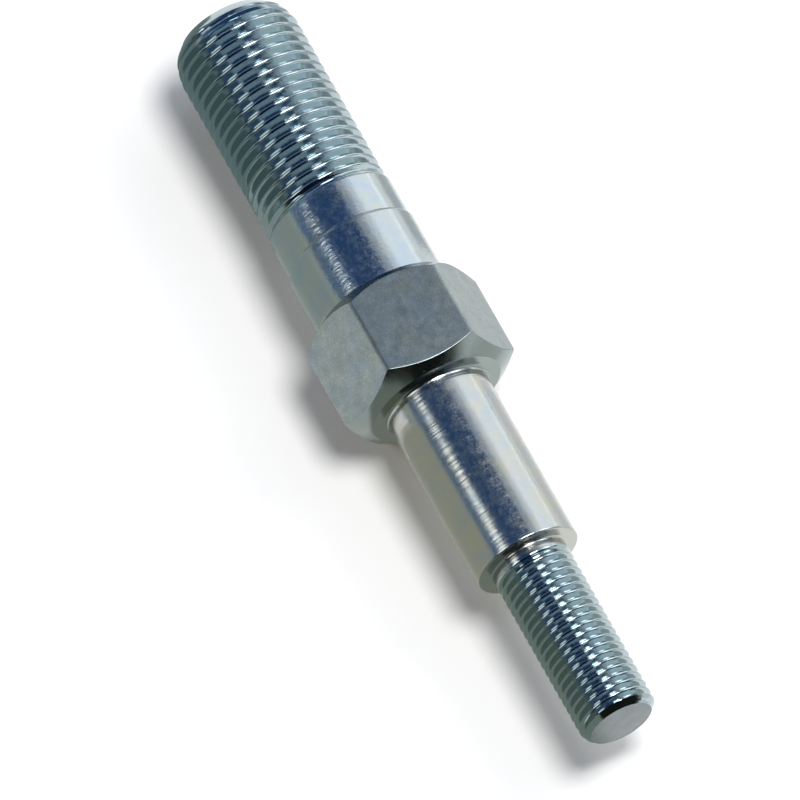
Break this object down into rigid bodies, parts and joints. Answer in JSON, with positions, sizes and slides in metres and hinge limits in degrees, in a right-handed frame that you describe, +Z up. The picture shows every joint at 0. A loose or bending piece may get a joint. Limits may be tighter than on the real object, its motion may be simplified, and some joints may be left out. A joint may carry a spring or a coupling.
{
  "type": "shock absorber bolt",
  "caption": "Stud bolt for a shock absorber: a large thread, a stepped shank, a hexagon, a plain shank for the absorber's eye and a small thread, in one piece.",
  "frame": {"origin": "centre of the seat, the hexagon's face towards the plain eye shank, on the stud's axis", "axes": "+X along the axis towards the nut thread; +Z up, square to the upper flat of the hexagon, with the stud lying on the lower flat"},
  "size_m": [0.1037, 0.0226, 0.0196],
  "materials": {
    "zinc_plated_steel": "bright zinc plate over turned and forged steel, with a faint blue and yellow cast"
  },
  "bodies": {
    "root": {"shock_absorber_bolt": "zinc_plated_steel"}
  },
  "joints": []
}
